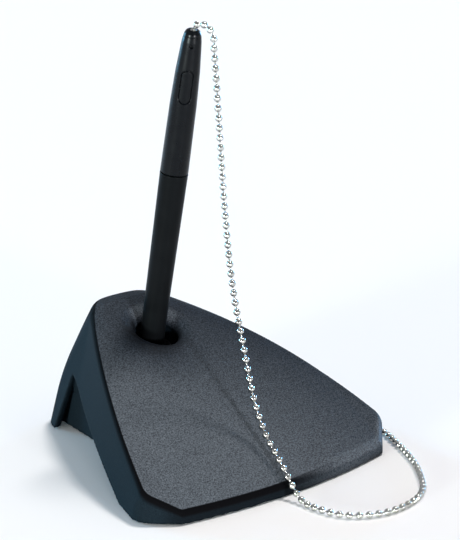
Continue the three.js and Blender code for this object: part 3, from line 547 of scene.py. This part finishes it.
def draw_skin(level, low, high, step):
    """The surface where a level function is nought, over a grid of cells. Each cell that the surface
    passes through gets one point, the one nearest to the planes that touch the surface where it cuts
    the cell's edges, and each cut edge gets a face between its four cells."""
    count = np.ceil((np.array(high) - np.array(low)) / step).astype(int) + 1
    axes = [low[k] + step * np.arange(count[k]) for k in range(3)]
    grid = np.stack(np.meshgrid(*axes, indexing="ij"), axis=3)
    value = level(grid.reshape(-1, 3)).reshape(count)
    cells, crossings, flips = [], [], []
    for k in range(3):
        ahead = np.roll(value, -1, axis=k)
        cut = (value < 0) != (ahead < 0)
        cut[tuple(slice(-1, None) if a == k else slice(None) for a in range(3))] = False
        start = np.argwhere(cut)
        near, far = value[cut], ahead[cut]
        a = grid[cut]
        b = a.copy()
        b[:, k] += step
        share = np.clip(near / (near - far), 0.02, 0.98)[:, None]
        for _ in range(3):
            middle = a + share * (b - a)
            here = level(middle)
            same = (here < 0) == (near < 0)
            a[same], near = middle[same], np.where(same, here, near)
            b[~same], far = middle[~same], np.where(same, far, here)
            share = np.clip(near / (near - far), 0.05, 0.95)[:, None]
        point = a + share * (b - a)
        other = [m for m in range(3) if m != k]
        around = []
        for du, dv in ((0, 0), (-1, 0), (-1, -1), (0, -1)):
            cell = start.copy()
            cell[:, other[0]] += du
            cell[:, other[1]] += dv
            around.append(cell)
        crossings.append(point)
        cells.append(np.stack(around, axis=1))
        flips.append((near < 0) == (k != 1))
    crossings, cells, flips = np.concatenate(crossings), np.concatenate(cells), np.concatenate(flips)
    tiny = 1e-3
    pull_home = 0.06  # towards the mean of the cuts, where the planes leave a point free
    normal = np.stack([level(crossings + tiny * np.eye(3)[k]) - level(crossings - tiny * np.eye(3)[k])
                       for k in range(3)], axis=1)
    normal /= np.maximum(np.linalg.norm(normal, axis=1), 1e-12)[:, None]
    flat = np.ravel_multi_index(cells.reshape(-1, 3).T, count)
    used, number = np.unique(flat, return_inverse=True)
    n = np.repeat(normal, 4, axis=0)
    p = np.repeat(crossings, 4, axis=0)
    total = np.bincount(number)
    mean = np.stack([np.bincount(number, p[:, k]) for k in range(3)], axis=1) / total[:, None]
    offset = np.sum(n * (p - mean[number]), axis=1)
    system = np.stack([np.bincount(number, n[:, r] * n[:, c]) for r in range(3) for c in range(3)], axis=1)
    system = system.reshape(-1, 3, 3) + pull_home * np.eye(3)
    pull = np.stack([np.bincount(number, n[:, k] * offset) for k in range(3)], axis=1)
    moved = np.linalg.solve(system, pull[:, :, None])[:, :, 0]
    points = mean + np.clip(moved, -step, step)
    corner_low = grid.reshape(-1, 3)[used]
    points = np.clip(points, corner_low - 0.1 * step, corner_low + 1.1 * step)
    quads = number.reshape(-1, 4)
    quads[flips] = quads[flips][:, ::-1]
    return points, quads


def grained_plastic():
    """Black moulded plastic with a fine even grain of bumps under half a millimetre, its top paler by a
    painted sheen. Five marks on the mesh say where: the walls and the plate's edge are plainer, and
    painted darker as shade; the plate is paler by the painted sheen and painted highlights; and painted
    shade and a painted dark reflection along the plate's edge are black."""
    material, make = new_material("grained_black_plastic")
    place = make("ShaderNodeTexCoord", out=3)
    grain = make("ShaderNodeTexNoise", Vector=place, Scale=2200.0, Detail=2.0, Roughness=0.6)
    blotch = make("ShaderNodeTexNoise", Vector=place, Scale=60.0, Detail=3.0)
    wall_share, plate_depth, front_right, handled, shade = [
        make("ShaderNodeAttribute", out=2, settings={"attribute_name": name})
        for name in ("wall_share", "plate_depth", "front_right", "handled", "shade")]
    # A painted dark reflection: a black line along the plate's edge, except at the front right, joined by
    # the painted shade of the shade mark.
    near_wall = rescale(make, wall_share, -0.90, -0.68)
    near_top = rescale(make, plate_depth, -2.5, -1.1)
    elsewhere = math(make, "SUBTRACT", 1.0, front_right)
    edge = math(make, "MULTIPLY", math(make, "MULTIPLY", near_wall, near_top), elsewhere)
    edge = math(make, "MAXIMUM", edge, math(make, "MULTIPLY", shade, 0.85))
    # The walls and the plate's edge: smoother and less glossy, and painted darker as shade by the plain
    # tone.
    smooth = math(make, "SUBTRACT", wall_share, math(make, "MULTIPLY", front_right, 0.7))
    smooth = rescale(make, smooth, -0.80, -0.45)
    smooth = math(make, "MAXIMUM", smooth, rescale(make, plate_depth, -0.9, -1.3))
    less = math(make, "SUBTRACT", 1.0, math(make, "MULTIPLY", front_right, 0.7))
    smooth = math(make, "MULTIPLY", smooth, less)
    pale = rescale(make, grain, 0.34, 0.68)
    # The plate's tone without and with the painted sheen, each with its grain.
    tone_without_sheen = mix(make, pale, (0.004, 0.005, 0.007, 1), (0.030, 0.038, 0.050, 1))
    tone_with_painted_sheen = mix(make, pale, (0.022, 0.025, 0.030, 1), (0.094, 0.106, 0.121, 1))
    # The walls' tone: less grain, and painted darker than the plate as shade.
    plain = mix(make, pale, (0.0040, 0.0075, 0.0110, 1), (0.0075, 0.0130, 0.0175, 1))
    tone = mix(make, smooth, mix(make, handled, tone_without_sheen, tone_with_painted_sheen), plain)
    # The painted dark reflection and painted shade turn the tone nearly black.
    tone = mix(make, edge, tone, (0.001, 0.001, 0.0015, 1))
    rough = rescale(make, blotch, 0.3, 0.7, 0.46, 0.54)
    rough = rescale(make, smooth, 0.0, 1.0, rough, 0.74)
    bump = make("ShaderNodeBump", Strength=0.55, Distance=0.00012, Height=grain)
    skin = make("ShaderNodeBsdfPrincipled", Base_Color=tone, Roughness=rough, Normal=bump,
                Specular_IOR_Level=0.035)
    make("ShaderNodeOutputMaterial", Surface=skin)
    return material


def shell_marks(points):
    """The five marks that the material reads, at each point: how far inside the walls it is, as a share
    of the edge's rounding; its height over the plate; how far it belongs to the front right; how much
    painted sheen it has, most at the front left, least beside the seat, and as painted highlights on
    the seat's rear rim and the right front edge; and how much painted shade it has, round the seat's
    mouth, as a painted shadow left of it, and under the front edge. All are sums and products of
    smooth steps."""
    x, y, z = points.T
    plate, _, walls, edge_round = outside_levels(x, y, z)
    wall_share = walls / edge_round
    front_right = step_between(x, -10.0, 28.0) * step_between(-y, 38.0, 43.0)
    from_seat = seat_distance(x, y, z)
    from_left_place = np.hypot(x + 6.5, y - 11.0)
    behind_seat = (0.45 * x + 0.89 * (y - seat[1])) / from_seat
    # A painted highlight on the seat's rear rim, right of the pen.
    seat_rear_highlight = step_between(behind_seat, 0.4, 0.85)
    seat_rear_highlight = seat_rear_highlight * step_between(from_seat, 7.6, 8.8) * (1 - step_between(from_seat, 10.5, 13.0))
    # Painted shade: a dark ring round the seat's mouth but for its rear, a painted shadow of the pen left
    # of the seat, and darkness under the front edge.
    mouth = (1 - step_between(from_seat, 7.8, 10.2)) * (1 - step_between(behind_seat, 0.3, 0.7))
    seat_left = 0.85 * (1 - step_between(from_left_place, 4.0, 14.0))
    under_edge = step_between(-y, 44.0, 49.0) * (1 - step_between(x, -8.0, 26.0))
    under_edge = under_edge * step_between(-plate, 0.5, 1.5)
    shade = np.maximum(np.maximum(mouth, seat_left), 0.62 * under_edge)
    # Painted sheen: the plate paler towards the front and the left, dimmed round a place left of the seat,
    # plus the painted highlight on the seat's rear rim.
    handled = step_between(12.0 - y - 0.22 * x, -32.0, 76.0) + 0.08
    handled = np.clip(handled - 0.0105 * x, 0.0, 1.0)
    handled = handled * (0.1 + 0.9 * step_between(from_left_place, 5.0, 26.0)) + 1.1 * seat_rear_highlight
    # A painted highlight: a pale band along the rounded edge at the front right.
    rim = step_between(wall_share, -1.5, -0.7) * (1 - step_between(wall_share, -0.45, -0.1))
    handled += 0.8 * front_right * rim
    return {"wall_share": np.clip(wall_share, -4, 2), "plate_depth": np.clip(plate, -6, 2),
            "front_right": front_right, "handled": handled, "shade": shade}


cell = 0.7  # the grid's step
points, quads = draw_skin(shell_level, (-56.3, -56.7, -1.0), (56.3, 56.7, 50.5), cell)
shell = put_mesh("moulded_shell", points, quads, grained_plastic())
for name, value in shell_marks(points).items():
    shell.data.attributes.new(name, "FLOAT", "POINT").data.foreach_set("value", value.astype(np.float32))
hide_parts("base_shell")
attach(shell, "base")


# Foot pads.
# Four round pads of soft black rubber, stuck to the two front bosses and to the cover behind, so that
# the holder doesn't slide. Their lower edges are rounded and their faces a little dished.


def matt_black(name, tone, rough, level, scale, depth):
    """A plain black moulding or rubber: one tone a little cloudy, with a fine uneven face."""
    material, make = new_material(name)
    place = make("ShaderNodeTexCoord", out=3)
    cloud = make("ShaderNodeTexNoise", Vector=place, Scale=160.0, Detail=4.0)
    fine = make("ShaderNodeTexNoise", Vector=place, Scale=scale, Detail=3.0)
    tone = mix(make, cloud, (*[0.75 * c for c in tone], 1), (*[1.3 * c for c in tone], 1))
    gloss = rescale(make, cloud, 0.3, 0.7, rough - 0.04, rough + 0.04)
    bump = make("ShaderNodeBump", Strength=0.4, Distance=depth, Height=fine)
    face = make("ShaderNodeBsdfPrincipled", Base_Color=tone, Roughness=gloss, Normal=bump,
                Specular_IOR_Level=level)
    make("ShaderNodeOutputMaterial", Surface=face)
    return material


rubber = matt_black("black_rubber", (0.016, 0.016, 0.017), 0.75, 0.3, 1500.0, 0.00006)
pad_profile = rounded_profile([
    (0, 0.12, 0), (3.2, 0.12, 0.6), (3.7, 0, 0.3), (4.5, 0, 0.45), (4.5, 1.5, 0.12), (0, 1.5, 0),
])
pad_places = {"front_1": (-36, -37.75), "front_2": (36, -37.75),
              "rear_1": (-9, 42.25), "rear_2": (9, 42.25)}
for name, (x, y) in pad_places.items():
    pad = turn_round(f"rubber_foot_{name}", pad_profile, rubber, 48, (x, y, 0))
    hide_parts(f"foot_pad_{name}")
    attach(pad, "base")


# Bottom cover, its screws and the ballast.
# A flat black moulding closes the box. Four zinc-plated countersunk screws hold it to posts under the
# plate, and a steel plate lies on it inside, for weight.

inside_plastic = matt_black("plain_black_moulding", (0.014, 0.014, 0.015), 0.5, 0.2, 900.0, 0.00003)


def drawn_steel():
    """Zinc-plated steel: grey metal with a faint fine unevenness and a cloudy gloss."""
    material, make = new_material("zinc_plated_steel")
    place = make("ShaderNodeTexCoord", out=3)
    cloud = make("ShaderNodeTexNoise", Vector=place, Scale=240.0, Detail=4.0)
    lines = make("ShaderNodeTexNoise", Vector=place, Scale=2600.0, Detail=2.0)
    tone = mix(make, cloud, (0.36, 0.37, 0.38, 1), (0.56, 0.57, 0.57, 1))
    gloss = rescale(make, cloud, 0.3, 0.7, 0.28, 0.44)
    bump = make("ShaderNodeBump", Strength=0.3, Distance=0.00003, Height=lines)
    metal = make("ShaderNodeBsdfPrincipled", Base_Color=tone, Metallic=1.0, Roughness=gloss, Normal=bump)
    make("ShaderNodeOutputMaterial", Surface=metal)
    return material


steel = drawn_steel()
for node, finish in (("bottom_cover", inside_plastic), ("ballast_weight", steel)):
    bpy.data.objects[node].data.materials.clear()
    bpy.data.objects[node].data.materials.append(finish)


def screw_with_cross(name, head, edge, shank, place, finish):
    """A turned screw with its head below, given as the head's radius and its recess's share of the full
    depth, then the profiles of its edge and shank. Over the head's face the height is raised into the
    head where the place is near either arm of a cross, with sloping flanks."""
    spin = np.linspace(0, 2 * np.pi, 64, endpoint=False)
    radius = np.linspace(0, head[0], 22)[1:]
    x, y = radius[:, None] * np.cos(spin), radius[:, None] * np.sin(spin)
    arm = np.minimum(np.abs(x), np.abs(y))
    reach = np.maximum(np.abs(x), np.abs(y))
    deep = 0.9 * head[1]
    dip = deep * step_between(0.42 - arm, 0.0, 0.16) * step_between(1.5 - reach, 0.0, 0.5)
    face = np.stack([x, y, dip], axis=2)
    body = np.array(edge + shank, float)
    rings = np.concatenate([face, carry_round(body[:, :1], body[:, 1:], spin)])
    middle = np.array([[0, 0, deep]])
    end = np.array([[0, 0, body[-1, 1] + 0.3]])
    points = np.concatenate([middle, rings.reshape(-1, 3), end]) + place
    return put_mesh(name, points, skin_rings((len(rings), len(spin))), finish)


def thread(start, count):
    """Radius and height down a screw's thread, groove and ridge by turns."""
    return [(1.2 if k % 2 else 1.0, start + 0.35 * k) for k in range(count)]


for k, (x, y) in enumerate(((-20, -19.75), (20, -19.75), (-10.5, 33.25), (10.5, 33.25)), start=1):
    screw = screw_with_cross(f"countersunk_screw_{k}", (2.42, 1.0), [(2.5, 0.08), (2.5, 0.2), (1.2, 1.4)],
                             thread(2.0, 17) + [(0.5, 8.6)], (x, y, 1.8), steel)
    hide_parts(f"cover_screw_{k}")
    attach(screw, "base")


# Socket and its rubber pad.
# A black cup pressed up into the sleeve under the plate. Its funnel mouth guides the pen's nose, and a
# rubber disc on its floor takes the knock.

socket = turn_round("pen_cup", rounded_profile([
    (0, -28, 0), (6.35, -28, 0.8), (6.35, -15.7, 0.3), (9.3, -15.7, 0.3), (9.3, -14.3, 0.2),
    (7.1, -14.3, 0.2), (7.1, -5, 0.15), (6.7, -5, 0.15), (4.85, -9, 0.8), (4.85, -25.8, 0.5), (0, -25.8, 0),
]), inside_plastic, 64, pen_foot, pen_lean)
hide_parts("pen_socket")
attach(socket, "base")
socket_disc = turn_round("cup_disc", rounded_profile([
    (0, -25.5, 0), (4.55, -25.5, 0.2), (4.55, -24.3, 0.3), (0, -24.3, 0),
]), rubber, 48, pen_foot, pen_lean)
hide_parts("socket_pad")
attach(socket_disc, "base")


# Pen: lower barrel and nose cone.
# Satin black moulded plastic, a little narrower towards the nose, which screws into the barrel's end.

satin_black = matt_black("satin_black_plastic", (0.003, 0.0035, 0.004), 0.36, 0.045, 700.0, 0.00002)
lower = turn_round("lower_barrel", rounded_profile([
    (3.1, -8.7, 0), (4.3, -8.7, 0.15), (4.3, 12, 6.0), (4.78, 59.6, 0), (4.78, 59.85, 0.22),
    (3.1, 59.85, 0),
]), satin_black, 80, pen_foot, pen_lean)
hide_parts("pen_lower_barrel")
nose = turn_round("nose_cone", rounded_profile([
    (1.2, -21.6, 0), (1.6, -21.6, 0.3), (3.8, -11, 2.0), (4.3, -9, 0.3), (3.0, -9, 0), (3.0, -3, 0.2),
    (1.6, -3, 0), (1.6, -14.7, 0), (1.2, -14.7, 0),
]), satin_black, 64, pen_foot, pen_lean)
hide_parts("pen_nose_cone")
for piece in (lower, nose):
    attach(piece, "pen")


# Pen: upper barrel and end plug.
# Polished black plastic, tapering to a domed plug. A plain oval is cut in one side, and above it the
# plug's catch shows in a small round hole. The chain's ball sits in the plug's mouth.


def polished_black():
    """Polished black plastic with the faint ripple and the fine rub marks of a much-used pen."""
    material, make = new_material("polished_black_plastic")
    place = make("ShaderNodeTexCoord", out=3)
    rub = make("ShaderNodeTexNoise", Vector=place, Scale=330.0, Detail=5.0)
    tone = mix(make, rub, (0.0008, 0.0012, 0.002, 1), (0.0016, 0.0022, 0.003, 1))
    gloss = rescale(make, rub, 0.35, 0.65, 0.26, 0.32)
    bump = make("ShaderNodeBump", Strength=0.25, Distance=0.00003, Height=rub)
    face = make("ShaderNodeBsdfPrincipled", Base_Color=tone, Roughness=gloss, Normal=bump,
                Specular_IOR_Level=0.14)
    make("ShaderNodeOutputMaterial", Surface=face)
    return material


gloss_black = polished_black()
oval_side = np.radians(-90 - 41)  # round the pen's axis from +X
outer_corners = [(4.53, 60.15, 0), (4.78, 60.4, 0.2), (4.5, 84.4, 14.0), (4.08, 96, 10.0), (3.48, 104, 4.0),
                 (3.27, 106.4, 1.2), (3.02, 107.98, 0.06), (2.05, 107.98, 0)]
bore = np.array([(2.05, 99.6), (3.1, 84.0), (3.1, 60.15)])
oval_middle, oval_straight, oval_radius, oval_depth = 91.5, 3.65, 1.975, 0.55
hole_middle, hole_radius, hole_depth = 105.2, 0.6, 1.1
fine_half = 0.62  # the mesh is finer within this angle of the oval's middle
skin = rounded_profile([(3.1, 60.15, 0)] + outer_corners, 9)[1:]
length_along = np.concatenate([[0], np.cumsum(np.linalg.norm(np.diff(skin, axis=0), axis=1))])
fine_heights = np.concatenate([np.arange(84.9, 98.2, 0.11), np.arange(104.3, 106.2, 0.1)])
rows = np.unique(np.concatenate([np.linspace(0, length_along[-1], 120), length_along,
                                 np.interp(fine_heights, skin[:, 1], length_along)]))
skin_radius = np.interp(rows, length_along, skin[:, 0])[:, None]
skin_height = np.interp(rows, length_along, skin[:, 1])[:, None]
around = np.concatenate([np.linspace(-fine_half, fine_half, 66),
                         np.linspace(fine_half, 2 * np.pi - fine_half, 62)[1:-1]])
spin = oval_side + around
far_off = 99  # stands for the side away from the oval
off_middle = np.where(np.cos(around) > 0, np.sin(around) * skin_radius, far_off)
oval = np.hypot(off_middle, np.maximum(np.abs(skin_height - oval_middle) - oval_straight, 0)) - oval_radius
oval_dip = oval_depth * (1 - step_between(np.abs(oval), 0.12, 0.25))
hole = np.hypot(off_middle, skin_height - hole_middle) - hole_radius
hole_dip = hole_depth * (1 - step_between(hole, -0.08, 0.06))
grid = np.concatenate([carry_round(skin_radius - oval_dip - hole_dip, skin_height, spin),
                       carry_round(bore[:, :1], bore[:, 1:], spin)])
points = leaned(grid.reshape(-1, 3), pen_lean) + pen_foot
upper = put_mesh("upper_barrel", points, skin_loop(*grid.shape[:2]), gloss_black)
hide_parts("pen_upper_barrel")
plug = turn_round("end_plug", rounded_profile([
    (1.45, 99.9, 0), (1.95, 99.9, 0.1), (1.95, 108.06, 0), (2.99, 108.06, 0.06), (2.78, 109.04, 1.2),
    (2.28, 109.95, 0.6), (1.75, 110.3, 0.15), (1.55, 110.3, 0.12), (1.45, 110.0, 0), (1.45, 108.45, 0),
    (0.75, 108.45, 0), (0.75, 107.55, 0), (1.45, 107.55, 0),
]), gloss_black, 64, pen_foot, pen_lean)
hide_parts("pen_end_plug")
for piece in (upper, plug):
    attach(piece, "pen")


# Pen: coupling and refill, inside.
# A black tube joins the barrels. The refill is a thin blue-black tube with a turned brass point, kept
# forward by a stop.


def turned_brass():
    """Bright brass, a little cloudy."""
    material, make = new_material("turned_brass")
    place = make("ShaderNodeTexCoord", out=3)
    cloud = make("ShaderNodeTexNoise", Vector=place, Scale=500.0, Detail=3.0)
    tone = mix(make, cloud, (0.50, 0.36, 0.15, 1), (0.68, 0.52, 0.25, 1))
    metal = make("ShaderNodeBsdfPrincipled", Base_Color=tone, Metallic=1.0, Roughness=0.26)
    make("ShaderNodeOutputMaterial", Surface=metal)
    return material


ink = matt_black("ink_in_tube", (0.02, 0.03, 0.09), 0.3, 0.5, 300.0, 0.00001)
point = turn_round("refill_point", rounded_profile([
    (0, -24, 0), (0.32, -23.94, 0.1), (0.42, -23.7, 0.1), (1.1, -21.4, 0.2), (1.1, -14.4, 0.1),
    (0.8, -14.4, 0), (0.8, -10.4, 0.2), (0, -10.4, 0),
]), turned_brass(), 32, pen_foot, pen_lean)
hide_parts("refill_tip")
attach(point, "pen")
inner_finishes = {"barrel_coupling": inside_plastic, "refill_stop": inside_plastic, "refill_tube": ink}
for node, finish in inner_finishes.items():
    bpy.data.objects[node].data.materials.clear()
    bpy.data.objects[node].data.materials.append(finish)


# Chain anchor.
# A nickel-plated steel stamping: an eyelet under a round-headed screw, and a strap that ends in a
# folded clasp round the chain's last ball.

sheet_middle, sheet_half = 4.6, 0.3  # the sheet's height and half its thickness
ring_radius, screw_hole, strap_half = 3.0, 1.5, 1.2


def stamping_level(p):
    """How far each point is outside the stamping: a flat ring with a strap, less the screw's hole, and
    a rounded cup with a slot below, hollow for the ball and open ahead for the rod."""
    turned = np.array([[clasp_side[0], -clasp_side[1]], [clasp_side[1], clasp_side[0]]])
    flat = (p[:, :2] - anchor) @ turned
    x, y, z = flat[:, 0], flat[:, 1], p[:, 2]
    sheet = np.abs(z - sheet_middle) - sheet_half
    ring = pared(np.hypot(x, y) - ring_radius, sheet, 0.15)
    strap = pared(np.maximum(np.abs(y) - strap_half, np.abs(x - 3.5) - 2.6), sheet, 0.15)
    flat_part = np.maximum(np.minimum(ring, strap), screw_hole - np.hypot(x, y))
    ahead, above = x - clasp_middle, z - clasp_height
    cup = pared(pared(np.abs(ahead) - 1.7, np.abs(y) - 1.6, 0.7), np.abs(above) - 1.5, 0.5)
    ball_room = np.sqrt(ahead**2 + y**2 + above**2) - 1.25
    way_out = np.maximum(np.hypot(y, above) - 0.75, -ahead)
    hollow = np.minimum(ball_room, way_out)
    slot = np.maximum(np.maximum(np.abs(y) - 0.45, z - 3.0), np.abs(ahead) - 3)
    cup = np.maximum(np.maximum(cup, -hollow), -slot)
    return np.minimum(flat_part, cup)


low = (anchor[0] - 3.6, anchor[1] - 3.6, 1.5)
high = (anchor[0] + 9.6, anchor[1] + 7.4, 5.3)
points, quads = draw_skin(stamping_level, low, high, 0.14)
stamping = put_mesh("anchor_stamping", points, quads, nickel)
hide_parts("chain_anchor_eyelet")
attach(stamping, "base")
anchor_screw = screw_with_cross("anchor_screw", (2.1, 0.9), [(2.5, 0.18), (2.7, 0.6), (2.7, 1.8)],
                                thread(1.95, 20) + [(0.5, 9.9)], (anchor[0], anchor[1], 2.2), steel)
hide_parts("chain_anchor_screw")
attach(anchor_screw, "base")
